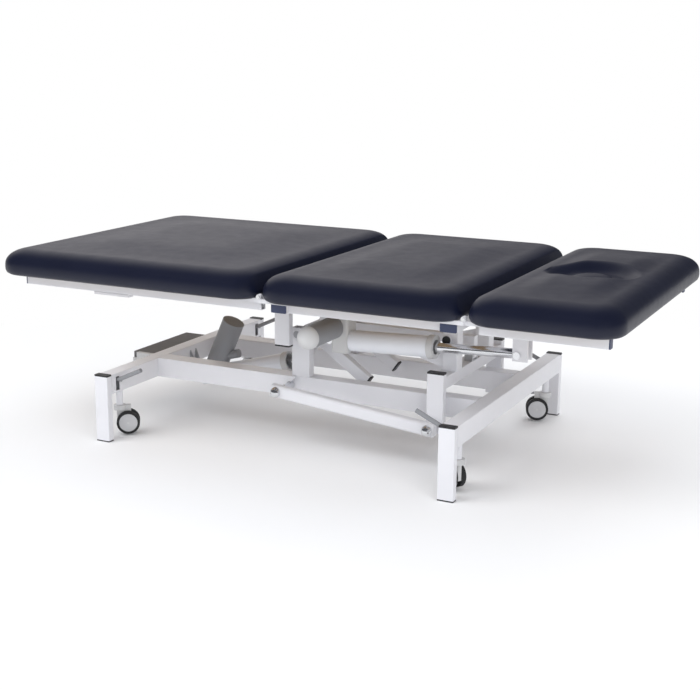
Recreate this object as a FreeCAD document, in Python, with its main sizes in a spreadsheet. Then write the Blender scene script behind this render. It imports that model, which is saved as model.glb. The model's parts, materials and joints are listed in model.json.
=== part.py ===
"""Electric hi-lo treatment couch, extra wide, three sections.

Frame: millimetres, +X towards the head end, +Y towards the far side, +Z up.
The origin is on the floor, under the middle of the top.
"""
import FreeCAD, Part
import math
import os

from FreeCAD import Placement, Rotation, Vector

doc = FreeCAD.newDocument("treatment_couch")
sheet = doc.addObject("Spreadsheet::Sheet", "sizes")

SIZES = {
    # top
    "top_length": 2020, "top_width": 1020, "cushion_thick": 70, "leg_length": 928,
    "head_length": 439, "section_gap": 8, "board_base": 520, "board_thick": 10, "board_inset": 24,
    "corner_round": 76, "edge_round": 8, "rim_round": 44, "end_lean": 20,
    "hole_radius": 56, "dish_radius": 96, "dish_deep": 14, "hole_place": 215, "plug_clear": 2, "ledge_wide": 10,
    # section frames
    "frame_tall": 40, "frame_tube": 25, "frame_face": 448, "thin_wall": 2, "cap_thick": 4,
    "leg_frame_start": -967, "leg_frame_stop": -85, "cross_wide": 50, "mid_cross_left": -45,
    "mid_cross_right": 492, "cross_reach": 456, "head_frame_start": 603, "head_frame_stop": 964,
    "hinge_rise": 6, "hinge_pin_radius": 4, "ear_thick": 6, "ear_radius": 8, "ear_clear": 0.5,
    "ear_reach": 110, "ear_drop": 12, "ear_face": 463.5, "pin_head_radius": 6, "pin_head_thick": 4,
    "stay_bracket_start": -699, "stay_bracket_long": 133, "stay_bracket_drop": 8,
    # base
    "base_start": -678, "base_length": 1236, "base_width": 986, "post_wide": 50,
    "post_thick": 25, "post_top": 215, "foot_thick": 4, "tube_wall": 2.5, "tube_round": 3,
    "cap_tall": 5, "member_low": 154, "member_tall": 64, "member_wide": 50,
    "rail_wide": 50, "rail_face": 199, "cover_thick": 14, "cover_stop": -103, "cover_slant": 47,
    "pylon_left": -121, "pylon_wide": 63, "pylon_thick": 34, "pylon_top": 375,
    # lift
    "arm_pivot_x": -122, "arm_pivot_z": 187, "arm_run": 515, "arm_fall": 51, "arm_inner": 271,
    "arm_thick": 32, "arm_tall": 40, "shaft_radius": 12, "dome_radius": 17, "run_fit": 0.06,
    "side_clear": 0.5, "link_step_x": 19, "link_step_z": 166, "link_wide": 30, "link_tall": 28,
    "link_pin_radius": 7, "link_eye_radius": 13, "sleeve_radius": 19, "sleeve_half": 128,
    "post_inner": 240, "hpost_left": 374, "hpost_wide": 54, "hpost_low": 118, "hpost_top": 300,
    "crossbar_left": 374, "crossbar_wide": 50, "crossbar_low": 250, "crossbar_tall": 38,
    "upright_left": 380, "upright_wide": 48, "upright_inner": 115, "upright_deep": 45,
    "gusset_thick": 6, "gusset_reach": 80, "gusset_low": 23, "gusset_high": 47,
    "drop_left": -146, "drop_wide": 53, "drop_low": 331, "beam_tall": 30,
    "stub_z": 384, "stub_radius": 13, "stub_long": 9, "lever_spread": 108, "leg_tip_x": 106,
    "leg_tip_z": 206, "leg_tall": 38, "leg_thick": 26, "crank_x": -193, "crank_z": 217,
    "crank_thick": 8, "crank_tall": 36, "crank_spread": 22, "crank_pin_radius": 8,
    # actuators
    "lift_rear_x": -605, "lift_rear_z": 107, "lift_tube_start": 21, "lift_tube_long": 339,
    "lift_tube_radius": 31, "lift_bore": 27, "lift_rod_radius": 12, "lift_rod_long": 240,
    "collar_long": 20, "collar_step": 4, "lift_motor_radius": 38, "lift_motor_place": 60,
    "lift_motor_low": 20, "lift_motor_high": 215, "lift_motor_lean": 51, "rear_pin_radius": 6, "rear_eye_radius": 14,
    "rear_eye_half": 12, "knob_radius": 15, "knob_long": 32, "knob_gap": 10,
    "head_rear_x": 22, "head_rear_z": 352, "head_axis_y": -193, "head_tube_start": 68,
    "head_tube_long": 262, "head_tube_radius": 33, "head_bore": 23, "head_rod_radius": 15,
    "head_rod_long": 395, "head_motor_x": 37, "head_motor_z": 397, "head_motor_radius": 35,
    "head_motor_stop": -385, "gear_left": 33, "gear_long": 57, "gear_low": 318, "gear_tall": 112,
    "gear_front": -226, "gear_deep": 66, "head_pin_x": 635, "head_pin_z": 375,
    "bracket_left": 621, "bracket_wide": 46, "bracket_thick": 8, "bracket_low": 357, "strap_eye_radius": 10, "hanger_wide": 34,
    # control box
    "box_long": 319, "box_start": -147, "box_wide": 87, "box_low": 150, "box_tall": 62,
    "box_hang": 8, "box_cap": 16,
    # castors
    "castor_inset": 95, "stem_radius": 11, "stem_top": 202, "wheel_radius": 37.5,
    "wheel_lift": 5, "travel": 26, "tyre_wide": 16, "fork_wide": 14, "trail": 26,
    "axle_radius": 4, "housing_radius": 20, "housing_low": 84, "housing_top": 100,
    "lever_inset": 56, "lever_height": 197, "lever_long": 96, "lever_rise": 25,
    "lever_radius": 5, "toe_collar_radius": 9, "toe_collar_long": 30,
    "pedal_long": 28, "pedal_wide": 26, "pedal_thick": 5, "pedal_gap": 0.7,
}


class Size:
    """A length that keeps the sheet expression it came from, so sums of sizes can be bound."""

    def __init__(self, value, text):
        self.value = float(value)
        self.text = text

    def __float__(self):
        return self.value

    def _with(self, other, sign, value, swap=False):
        other_text = other.text if isinstance(other, Size) else repr(float(other))
        first, second = (other_text, self.text) if swap else (self.text, other_text)
        return Size(value, "(%s %s %s)" % (first, sign, second))

    def __add__(self, other):
        return self._with(other, "+", self.value + float(other))

    def __radd__(self, other):
        return self._with(other, "+", float(other) + self.value, True)

    def __sub__(self, other):
        return self._with(other, "-", self.value - float(other))

    def __rsub__(self, other):
        return self._with(other, "-", float(other) - self.value, True)

    def __mul__(self, other):
        return self._with(other, "*", self.value * float(other))

    def __rmul__(self, other):
        return self._with(other, "*", float(other) * self.value, True)

    def __truediv__(self, other):
        return self._with(other, "/", self.value / float(other))

    def __neg__(self):
        return self._with(-1, "*", -self.value)


class Sizes:
    """The sheet's cells by alias, as Size objects."""

    def __init__(self):
        for row, (alias, value) in enumerate(SIZES.items(), 1):
            sheet.set("A%d" % row, alias.replace("_", " "))
            sheet.set("B%d" % row, str(value))
            sheet.setAlias("B%d" % row, alias)
        doc.recompute()
        for alias in SIZES:
            setattr(self, alias, Size(sheet.get(alias), "sizes." + alias))


d = Sizes()
NODES = []
PLANES = {"X": "YZ_Plane", "Y": "XZ_Plane", "Z": "XY_Plane"}
UP_Y = Vector(0, 1, 0)


def bind(obj, **sizes):
    """Ties properties to the sheet; plain numbers are set as they are."""
    for name, size in sizes.items():
        if isinstance(size, Size):
            obj.setExpression(name, size.text)
        else:
            setattr(obj, name, size)


def place(obj, at, turn=None):
    """Puts an object at a point, turned by a Rotation."""
    obj.Placement = Placement(Vector(*[float(c) for c in at]), turn or Rotation())
    return obj


def tilt(degrees):
    """A turn in the XZ plane that lifts the +X end by so many degrees."""
    return Rotation(UP_Y, -float(degrees))


def box(size, low, turn=None):
    """A block from its lowest corner."""
    block = doc.addObject("Part::Box", "block")
    bind(block, Length=size[0], Width=size[1], Height=size[2])
    return place(block, low, turn)


AXIS_TURN = {"X": Rotation(UP_Y, 90), "Y": Rotation(Vector(1, 0, 0), -90), "Z": Rotation()}


def rod(radius, length, start, axis="Z", turn=None):
    """A round bar from the middle of its first end, along +X, +Y or +Z."""
    bar = doc.addObject("Part::Cylinder", "bar")
    bind(bar, Radius=radius, Height=length)
    spin = AXIS_TURN[axis]
    return place(bar, start, turn.multiply(spin) if turn else spin)


def ball(radius, centre):
    """A sphere round a point."""
    sphere = doc.addObject("Part::Sphere", "ball")
    bind(sphere, Radius=radius)
    return place(sphere, centre)


def fuse(*shapes):
    """One solid from several that touch."""
    joined = doc.addObject("Part::MultiFuse", "joined")
    joined.Shapes = list(shapes)
    joined.Refine = True
    return joined


def cut(base, *tools):
    """The base with each tool taken out of it."""
    for tool in tools:
        rest = doc.addObject("Part::Cut", "cut")
        rest.Base = base
        rest.Tool = tool
        base = rest
    return base


def group(*shapes):
    """Separate solids in one node."""
    members = doc.addObject("Part::Compound", "members")
    members.Links = list(shapes)
    return members


def node(name, shape):
    """Names a finished sub-part."""
    shape.Label = name
    NODES.append(shape)
    return shape


def rectangle(sketch, wide, tall):
    """A rectangle about the sketch's origin, its two sides bound to the sheet."""
    half_w, half_t = float(wide) / 2, float(tall) / 2
    corners = [Vector(-half_w, -half_t, 0), Vector(half_w, -half_t, 0),
               Vector(half_w, half_t, 0), Vector(-half_w, half_t, 0)]
    first = sketch.GeometryCount
    for i in range(4):
        sketch.addGeometry(Part.LineSegment(corners[i], corners[(i + 1) % 4]), False)
    import Sketcher
    for i in range(4):
        sketch.addConstraint(Sketcher.Constraint("Coincident", first + i, 2, first + (i + 1) % 4, 1))
    for i in (0, 2):
        sketch.addConstraint(Sketcher.Constraint("Horizontal", first + i))
        sketch.addConstraint(Sketcher.Constraint("Vertical", first + i + 1))
    sketch.addConstraint(Sketcher.Constraint("Symmetric", first, 1, first + 1, 2, -1, 1))
    for line, name, size in ((first, "wide", wide), (first + 1, "tall", tall)):
        kind = "DistanceX" if line == first else "DistanceY"
        index = sketch.addConstraint(Sketcher.Constraint(kind, line, 1, line, 2, float(size)))
        label = "%s_%d" % (name, first)
        sketch.renameConstraint(index, label)
        if isinstance(size, Size):
            sketch.setExpression("Constraints." + label, size.text)


def plane_of(body, axis):
    """The body's own origin plane square to an axis."""
    return next(f for f in body.Origin.OriginFeatures if f.Role == PLANES[axis])


def bar_body(axis, length, wide, tall, wall=None, rounding=None):
    """A straight box section about the origin: hollow where a wall is given, outer edges rounded."""
    body = doc.addObject("PartDesign::Body", "section")
    sketch = body.newObject("Sketcher::SketchObject", "outline")
    sketch.AttachmentSupport = (plane_of(body, axis), [""])
    sketch.MapMode = "FlatFace"
    rectangle(sketch, wide, tall)
    if wall is not None:
        rectangle(sketch, wide - 2 * wall, tall - 2 * wall)
    pad = body.newObject("PartDesign::Pad", "run")
    pad.Profile = sketch
    bind(pad, Length=length)
    pad.SideType = "Symmetric"
    doc.recompute()
    if rounding is not None:
        edges = long_edges(pad.Shape, axis, float(length), float(wide) / 2, float(tall) / 2)
        fillet = body.newObject("PartDesign::Fillet", "rounding")
        fillet.Base = (pad, edges)
        bind(fillet, Radius=rounding)
        body.Tip = fillet
    return body


def long_edges(shape, axis, length, half_wide, half_tall):
    """Names of the four outer edges that run along the axis."""
    names = []
    across = {"X": ("y", "z"), "Y": ("x", "z"), "Z": ("x", "y")}[axis]
    for i, edge in enumerate(shape.Edges, 1):
        middle = edge.CenterOfMass
        outer = (abs(abs(getattr(middle, across[0])) - half_wide) < 0.01
                 and abs(abs(getattr(middle, across[1])) - half_tall) < 0.01)
        if outer and abs(edge.Length - length) < 0.01:
            names.append("Edge%d" % i)
    return names


def tube(axis, length, wide, tall, centre, turn=None, wall=None):
    """A hollow box section: wide and tall are its sides across the axis, in X, Y, Z order."""
    return place(bar_body(axis, length, wide, tall, wall or d.tube_wall, d.tube_round), centre, turn)


def bar(axis, length, wide, tall, centre, turn=None, rounding=None):
    """A solid box section."""
    return place(bar_body(axis, length, wide, tall, None, rounding), centre, turn)


def plate_body(axis, points, thick, centre, turn=None):
    """A flat plate with straight sides, padded both ways from its middle plane."""
    import Sketcher
    body = doc.addObject("PartDesign::Body", "plate")
    sketch = body.newObject("Sketcher::SketchObject", "outline")
    sketch.AttachmentSupport = (plane_of(body, axis), [""])
    sketch.MapMode = "FlatFace"
    count = len(points)
    ends = [Vector(float(u), float(w), 0) for u, w in points]
    for i in range(count):
        sketch.addGeometry(Part.LineSegment(ends[i], ends[(i + 1) % count]), False)
    for i in range(count):
        sketch.addConstraint(Sketcher.Constraint("Coincident", i, 2, (i + 1) % count, 1))
        for kind, size in (("DistanceX", points[i][0]), ("DistanceY", points[i][1])):
            index = sketch.addConstraint(Sketcher.Constraint(kind, -1, 1, i, 1, float(size)))
            if isinstance(size, Size):
                label = "%s_%d" % (kind.lower(), i)
                sketch.renameConstraint(index, label)
                sketch.setExpression("Constraints." + label, size.text)
    pad = body.newObject("PartDesign::Pad", "sheet")
    pad.Profile = sketch
    bind(pad, Length=thick)
    pad.SideType = "Symmetric"
    doc.recompute()
    return place(body, centre, turn)


# ---------------------------------------------------------------- base frame
base_stop = d.base_start + d.base_length
member_xs = (d.base_start + d.member_wide / 2, base_stop - d.member_wide / 2)
post_y = (d.base_width - d.post_thick) / 2
member_top = d.member_low + d.member_tall
rail_mid = d.rail_face - d.rail_wide / 2
rail_inner = d.rail_face - d.rail_wide
SIDES = (-1, 1)


def capped_posts(spots, wide, thick, low, top, foot):
    """Upright tubes and their plugged end caps."""
    posts, caps = [], []
    inner = (wide - 2 * d.tube_wall, thick - 2 * d.tube_wall)
    for x, y in spots:
        posts.append(tube("Z", top - low, wide, thick, (x, y, (low + top) / 2)))
        ends = [(top, 1)] + ([(low, -1)] if foot else [])
        for z, way in ends:
            deep = d.foot_thick if foot and way < 0 else d.cap_tall
            lid = bar("Z", deep, wide, thick, (x, y, z + deep / 2 * way), None, d.tube_round)
            plug = bar("Z", 2 * deep, inner[0], inner[1], (x, y, z - deep * way))
            caps.append(fuse(lid, plug))
    return posts, caps


def base_posts():
    """Four posts with feet below and caps above."""
    spots = [(x, post_y * side) for x in member_xs for side in SIDES]
    posts, ends = capped_posts(spots, d.post_wide, d.post_thick, d.foot_thick, d.post_top, True)
    node("base_posts", group(*posts))
    node("post_ends", group(*ends))


def cross_members():
    """Two cross-members between the posts, bored for the castor stems and slotted for their levers."""
    members = []
    length = d.base_width - 2 * d.post_thick
    for x, inward in zip(member_xs, (1, -1)):
        beam = tube("Y", length, d.member_wide, d.member_tall, (x, 0, d.member_low + d.member_tall / 2))
        tools = []
        for side in SIDES:
            y = side * (d.base_width / 2 - d.castor_inset)
            tools.append(rod(d.stem_radius + d.run_fit, 3 * d.tube_wall, (x, y, d.member_low - d.tube_wall)))
            slot = d.toe_collar_radius + 1
            tall = d.travel + 2 * slot
            face = x + inward * (d.member_wide / 2 - d.tube_wall / 2)
            slot_y = side * (d.base_width / 2 - d.lever_inset)
            tools.append(box((3 * d.tube_wall, 2 * slot, tall),
                             (face - 1.5 * d.tube_wall, slot_y - slot, d.lever_height - d.travel - slot)))
        members.append(cut(beam, *tools))
    node("base_cross_members", group(*members))


def base_rails():
    """Two long rails, bored for the arm shafts, with an outer cover plate that ends on a slant."""
    rails, covers = [], []
    start = d.base_start + d.member_wide
    length = d.base_length - 2 * d.member_wide
    for side in SIDES:
        rail = tube("X", length, d.rail_wide, d.member_tall,
                    (start + length / 2, side * rail_mid, d.member_low + d.member_tall / 2))
        bore = rod(d.shaft_radius + d.run_fit, 2 * d.rail_wide,
                   (d.arm_pivot_x, side * rail_mid - d.rail_wide, d.arm_pivot_z), "Y")
        rails.append(cut(rail, bore))
        foot = d.cover_stop - d.cover_slant
        points = [(start, d.member_low), (foot, d.member_low), (d.cover_stop, member_top),
                  (start, member_top)]
        plate = plate_body("Y", points, d.cover_thick, (0, side * (d.rail_face + d.cover_thick / 2), 0))
        wide = rod(d.shaft_radius + 2 * d.side_clear, 2 * d.rail_wide,
                   (d.arm_pivot_x, side * d.rail_face - d.rail_wide, d.arm_pivot_z), "Y")
        covers.append(cut(plate, wide))
    node("base_rails", group(*rails))
    node("rail_covers", group(*covers))


def pylons():
    """Two pylons on the rails and the fixed shaft between them, on which the upper link swings."""
    posts, tall = [], d.pylon_top - member_top
    y = d.rail_face - d.pylon_thick / 2
    for side in SIDES:
        post = tube("Z", tall, d.pylon_wide, d.pylon_thick,
                    (d.pylon_left + d.pylon_wide / 2, side * y, member_top + tall / 2))
        bore = rod(d.shaft_radius, d.pylon_thick + 2, (link_x, side * y - d.pylon_thick / 2 - 1, link_z), "Y")
        posts.append(cut(post, bore))
    node("pylons", group(*posts))
    node("link_shaft", rod(d.shaft_radius, 2 * d.rail_face, (link_x, -d.rail_face, link_z), "Y"))


link_x = d.arm_pivot_x + d.link_step_x
link_z = d.arm_pivot_z + d.link_step_z
arm_end_x = d.arm_pivot_x + d.arm_run
arm_end_z = d.arm_pivot_z - d.arm_fall
link_end_x = link_x + d.arm_run
link_end_z = link_z - d.arm_fall
arm_long = math.hypot(float(d.arm_run), float(d.arm_fall))
arm_slope = -math.degrees(math.atan2(float(d.arm_fall), float(d.arm_run)))
arm_outer = d.arm_inner + d.arm_thick


def dome(at_x, at_z, side):
    """A domed cap on the outer end of a pivot."""
    y = side * (arm_outer + d.side_clear)
    size = 2 * d.dome_radius
    whole = ball(d.dome_radius, (at_x, y, at_z))
    low = y - size if side > 0 else y
    return cut(whole, box((size, size, size), (at_x - d.dome_radius, low, at_z - d.dome_radius)))


def control_box():
    """Control box hung on a plate outside the foot-end cross-member, with a stepped end cap."""
    right = d.base_start - d.box_hang
    mid = right - d.box_wide / 2
    case = bar("Y", d.box_long, d.box_wide, d.box_tall,
               (mid, d.box_start + d.box_long / 2, d.box_low + d.box_tall / 2), None, d.tube_round)
    plate = box((d.box_hang, d.box_long * 0.8, d.box_tall * 0.7),
                (right, d.box_start + d.box_long * 0.1, d.member_low))
    node("control_box", group(case, plate))
    step = d.box_wide / 4
    cap = fuse(box((d.box_wide - step, d.box_cap, d.box_tall),
                   (right - d.box_wide + step, d.box_start - d.box_cap, d.box_low)),
               box((step, d.box_cap / 2, d.box_tall - step),
                   (right - d.box_wide, d.box_start - d.box_cap / 2, d.box_low)))
    node("control_box_end", cap)


# ---------------------------------------------------------------- lift
def lower_arms():
    """Two arms keyed to shafts in the rails; their head ends turn on the stub axles."""
    arms = []
    mid_x, mid_z = (d.arm_pivot_x + arm_end_x) / 2, (d.arm_pivot_z + arm_end_z) / 2
    for side in SIDES:
        y = side * (d.arm_inner + d.arm_thick / 2)
        beam = bar("X", arm_long + d.arm_tall, d.arm_thick, d.arm_tall, (mid_x, y, mid_z),
                   tilt(arm_slope), d.tube_round * 3)
        low = y - d.arm_thick / 2 - 1
        arms.append(cut(beam, rod(d.shaft_radius, d.arm_thick + 2, (d.arm_pivot_x, low, d.arm_pivot_z), "Y"),
                        rod(d.shaft_radius + d.run_fit, d.arm_thick + 2, (arm_end_x, low, arm_end_z), "Y")))
    node("lift_arms", group(*arms))
    shafts = []
    outer = arm_outer + d.side_clear
    for side in SIDES:
        shaft = rod(d.shaft_radius, outer - rail_inner,
                    (d.arm_pivot_x, rail_inner if side > 0 else -outer, d.arm_pivot_z), "Y")
        shafts.append(fuse(shaft, dome(d.arm_pivot_x, d.arm_pivot_z, side)))
    node("arm_shafts", group(*shafts))


def upper_link():
    """Sleeve on the fixed shaft, goose-necked link to the lift frame, and the lever it turns with."""
    sleeve = rod(d.sleeve_radius, 2 * d.sleeve_half, (link_x, -d.sleeve_half, link_z), "Y")
    half = d.link_tall / 2
    neck = link_end_x - half
    points = [(link_x, link_z - half), (neck, link_z - half), (neck, link_end_z),
              (link_end_x + half, link_end_z), (link_end_x + half, link_z + half), (link_x, link_z + half)]
    arm = plate_body("Y", points, d.link_wide, (0, 0, 0))
    eye = rod(d.link_eye_radius, d.link_wide, (link_end_x, -d.link_wide / 2, link_end_z), "Y")
    legs, tips = [], []
    run_x, run_z = d.leg_tip_x - link_x, d.leg_tip_z - link_z
    long = math.hypot(float(run_x), float(run_z))
    slope = math.degrees(math.atan2(float(run_z), float(run_x)))
    shift = Vector(math.cos(math.radians(slope)), 0, math.sin(math.radians(slope)))
    for side in SIDES:
        y = side * d.lever_spread
        legs.append(bar("X", long, d.leg_thick, d.leg_tall,
                        (link_x + run_x / 2, y, link_z + run_z / 2), tilt(slope), d.tube_round))
        tip = (d.leg_tip_x + shift.x * d.cap_tall / 2, y, d.leg_tip_z + shift.z * d.cap_tall / 2)
        tips.append(bar("X", d.cap_tall, d.leg_thick, d.leg_tall, tip, tilt(slope), d.tube_round))
    bore = rod(d.shaft_radius + d.run_fit, 3 * d.sleeve_half, (link_x, -1.5 * d.sleeve_half, link_z), "Y")
    pin_hole = rod(d.link_pin_radius + d.run_fit, 2 * d.link_wide, (link_end_x, -d.link_wide, link_end_z), "Y")
    reach = d.crank_spread + d.crank_thick
    pin = rod(d.crank_pin_radius, 2 * reach, (d.crank_x, -reach, d.crank_z), "Y")
    whole = fuse(sleeve, arm, eye, pin, *legs, *[crank(side) for side in SIDES])
    node("upper_link", cut(whole, bore, pin_hole))
    node("lever_caps", group(*tips))


def crank(side):
    """A flat crank plate from the sleeve down to the lift actuator's pin."""
    run_x, run_z = d.crank_x - link_x, d.crank_z - link_z
    long = math.hypot(float(run_x), float(run_z))
    slope = math.degrees(math.atan2(float(run_z), float(run_x)))
    y = side * (d.crank_spread + d.crank_thick / 2)
    return bar("X", long + d.crank_tall, d.crank_thick, d.crank_tall,
               (link_x + run_x / 2, y, link_z + run_z / 2), tilt(slope), d.tube_round)


def lift_frame():
    """The H-frame at the head end of the arms, its stub axles, lugs, uprights and gussets."""
    y = d.post_inner + d.post_thick / 2
    mid = d.hpost_left + d.hpost_wide / 2
    posts, caps = capped_posts([(mid, side * y) for side in SIDES], d.hpost_wide, d.post_thick,
                               d.hpost_low, d.hpost_top, False)
    posts.append(tube("Y", 2 * d.post_inner, d.crossbar_wide, d.crossbar_tall,
                      (d.crossbar_left + d.crossbar_wide / 2, 0, d.crossbar_low + d.crossbar_tall / 2)))
    node("lift_frame", group(*posts))
    axles = []
    start = d.post_inner + d.post_thick
    for side in SIDES:
        low = start if side > 0 else -(arm_outer + d.side_clear)
        axle = rod(d.shaft_radius, arm_outer + d.side_clear - start, (arm_end_x, low, arm_end_z), "Y")
        axles.append(fuse(axle, dome(arm_end_x, arm_end_z, side)))
    node("stub_axles", group(*axles))
    half = d.link_wide / 2 + d.side_clear + d.crank_thick
    pin = rod(d.link_pin_radius, 2 * half, (link_end_x, -half, link_end_z), "Y")
    node("link_lugs", group(pin, *[link_lug(side) for side in SIDES]))
    crossbar_top = d.crossbar_low + d.crossbar_tall
    tall = frame_low - crossbar_top
    up_y = d.upright_inner + d.upright_deep / 2
    up_mid = d.upright_left + d.upright_wide / 2
    standing = [tube("Z", tall, d.upright_wide, d.upright_deep, (up_mid, side * up_y, crossbar_top + tall / 2))
                for side in SIDES]
    low, high = crossbar_top + d.gusset_low, crossbar_top + d.gusset_high
    points = [(d.upright_left, crossbar_top), (d.upright_left, high + d.gusset_low),
              (d.upright_left - d.gusset_reach, high), (d.upright_left - d.gusset_reach, low)]
    standing += [plate_body("Y", points, d.gusset_thick, (0, side * up_y, 0)) for side in SIDES]
    for side in SIDES:
        foot = d.upright_inner + d.upright_deep
        low_y = foot if side > 0 else -foot - d.stub_long
        bar_x = d.upright_left + d.stub_radius + d.tube_round
        standing.append(rod(d.stub_radius, d.stub_long, (bar_x, low_y, d.stub_z), "Y"))
        end_y = side * (foot + d.stub_long)
        caps.append(rod(d.stub_radius, d.cap_tall, (bar_x, end_y if side > 0 else end_y - d.cap_tall, d.stub_z), "Y"))
    node("uprights", group(*standing))
    return caps


def link_lug(side):
    """A lug on the lift frame's cross tube for the link's pin."""
    half = d.link_eye_radius + d.side_clear
    low = d.crossbar_low + d.crossbar_tall
    y = side * (d.link_wide / 2 + d.side_clear + d.crank_thick / 2)
    points = [(link_end_x - half, low), (d.crossbar_left + d.crossbar_wide, low),
              (link_end_x + half, link_end_z + half), (link_end_x - half, link_end_z + half)]
    plate = plate_body("Y", points, d.crank_thick, (0, y, 0))
    return cut(plate, rod(d.link_pin_radius, 2 * half, (link_end_x, y - half, link_end_z), "Y"))


# ---------------------------------------------------------------- top
top_edge = d.top_length / 2
top_height = d.board_base + d.board_thick + d.cushion_thick
hinge_height = d.board_base + d.hinge_rise
leg_stop = d.leg_length - top_edge
mid_start = leg_stop + d.section_gap
head_start = top_edge - d.head_length
mid_stop = head_start - d.section_gap
leg_hinge = leg_stop + d.section_gap / 2
head_hinge = head_start - d.section_gap / 2
frame_low = d.board_base - d.frame_tall
frame_mid_z = frame_low + d.frame_tall / 2
rail_y = d.frame_face - d.frame_tube / 2
ear_pitch = d.ear_thick + d.ear_clear


def frame_rail(start, stop, side):
    """A side rail of a section frame."""
    return tube("X", stop - start, d.frame_tube, d.frame_tall, ((start + stop) / 2, side * rail_y, frame_mid_z),
                None, d.thin_wall)


def frame_cross(x, half):
    """A cross tube of a section frame."""
    return tube("Y", 2 * half, d.cross_wide, d.frame_tall, (x, 0, frame_mid_z), None, d.thin_wall)


def ears(pivot, way, row, fit):
    """A pair of hinge ears under a board, reaching out to the hinge line."""
    plates = []
    y0 = d.ear_face + d.ear_thick / 2 + row * ear_pitch
    for side in SIDES:
        y = side * y0
        start, end = (pivot, pivot + d.ear_reach) if way > 0 else (pivot - d.ear_reach, pivot)
        arm = box((d.ear_reach, d.ear_thick, d.ear_drop), (start, y - d.ear_thick / 2, d.board_base - d.ear_drop))
        eye = rod(d.ear_radius, d.ear_thick, (pivot, y - d.ear_thick / 2, hinge_height), "Y")
        hole = rod(d.hinge_pin_radius + fit, 3 * d.ear_thick, (pivot, y - 1.5 * d.ear_thick, hinge_height), "Y")
        plates.append(cut(fuse(arm, eye), hole))
    return plates


def hinge_pins(rear_pin):
    """Headed pins through the ears of both hinge lines, and the head actuator's rear pin."""
    pins = [rear_pin]
    long = 2 * ear_pitch + d.ear_clear
    for x in (leg_hinge, head_hinge):
        for side in SIDES:
            low = d.ear_face if side > 0 else -d.ear_face - long
            shank = rod(d.hinge_pin_radius, long, (x, low, hinge_height), "Y")
            head_y = d.ear_face + long if side > 0 else -d.ear_face - long - d.pin_head_thick
            head = rod(d.pin_head_radius, d.pin_head_thick, (x, head_y, hinge_height), "Y")
            pins.append(fuse(shank, head))
    node("hinge_pins", group(*pins))


def board(name, start, stop, opening=None):
    """The ply board under one cushion."""
    inset = d.board_inset
    wide = d.top_width - 2 * inset - d.board_thick
    sheet_board = bar("Z", d.board_thick, stop - start - 2 * inset, wide,
                      ((start + stop) / 2, 0, d.board_base + d.board_thick / 2), None, d.corner_round * 0.8)
    return node(name, cut(sheet_board, opening) if opening else sheet_board)


def cushion_body(start, stop, meets_left, meets_right):
    """An upholstered pad: ends that lean back where it meets another, rounded corners, soft rims."""
    low = d.board_base + d.board_thick
    lean = (top_height - low) * math.tan(math.radians(float(d.end_lean)))
    left, right = start, stop
    if meets_left:
        left = start + lean
    if meets_right:
        right = stop - lean
    points = [(start, low), (stop, low), (right, top_height), (left, top_height)]
    pad = plate_body("Y", points, d.top_width, (0, 0, 0))
    soften(pad, "corners", d.corner_round,
           lambda edge: level(edge, "y") and not level(edge, "z"))
    soften(pad, "rim", d.rim_round, lambda edge: at_height(edge, top_height))
    soften(pad, "lower_edge", d.edge_round, lambda edge: at_height(edge, low))
    return pad


def level(edge, axis):
    """True where an edge's two ends share a coordinate."""
    first, last = edge.Vertexes[0].Point, edge.Vertexes[-1].Point
    return abs(getattr(first, axis) - getattr(last, axis)) < 0.01


def at_height(edge, height):
    """True where a whole edge lies at a height."""
    return all(abs(v.Z - float(height)) < 0.01 for v in edge.Vertexes)


def soften(body, name, radius, wanted):
    """Rounds the edges of a body's last feature that answer to a test."""
    last = body.Tip
    names = ["Edge%d" % i for i, edge in enumerate(last.Shape.Edges, 1) if wanted(edge)]
    fillet = body.newObject("PartDesign::Fillet", name)
    fillet.Base = (last, names)
    bind(fillet, Radius=radius)
    body.Tip = fillet
    doc.recompute()


def cushions():
    """Three cushions, their boards, and the lift-out plug of the breathing hole."""
    rows = (("leg", -top_edge, leg_stop, False, True), ("middle", mid_start, mid_stop, True, True),
            ("head", head_start, top_edge, True, False))
    hole_x = head_start + d.hole_place
    low = d.board_base - 2
    for name, start, stop, meets_left, meets_right in rows:
        pad = cushion_body(start, stop, meets_left, meets_right)
        opening = None
        if name == "head":
            tall = top_height - low
            opening = rod(d.hole_radius - d.ledge_wide, tall, (hole_x, 0, low))
            dish = doc.addObject("Part::Cone", "dish")
            bind(dish, Radius1=d.hole_radius, Radius2=d.dish_radius, Height=d.dish_deep)
            place(dish, (hole_x, 0, top_height - d.dish_deep))
            pad = cut(pad, rod(d.hole_radius, tall, (hole_x, 0, low)), dish)
        board(name + "_board", start, stop, opening)
        node(name + "_cushion", pad)
    seat = d.board_base + d.board_thick
    tall = top_height - d.dish_deep - seat
    node("face_plug", rod(d.hole_radius - d.plug_clear, tall, (hole_x, 0, seat)))


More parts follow.
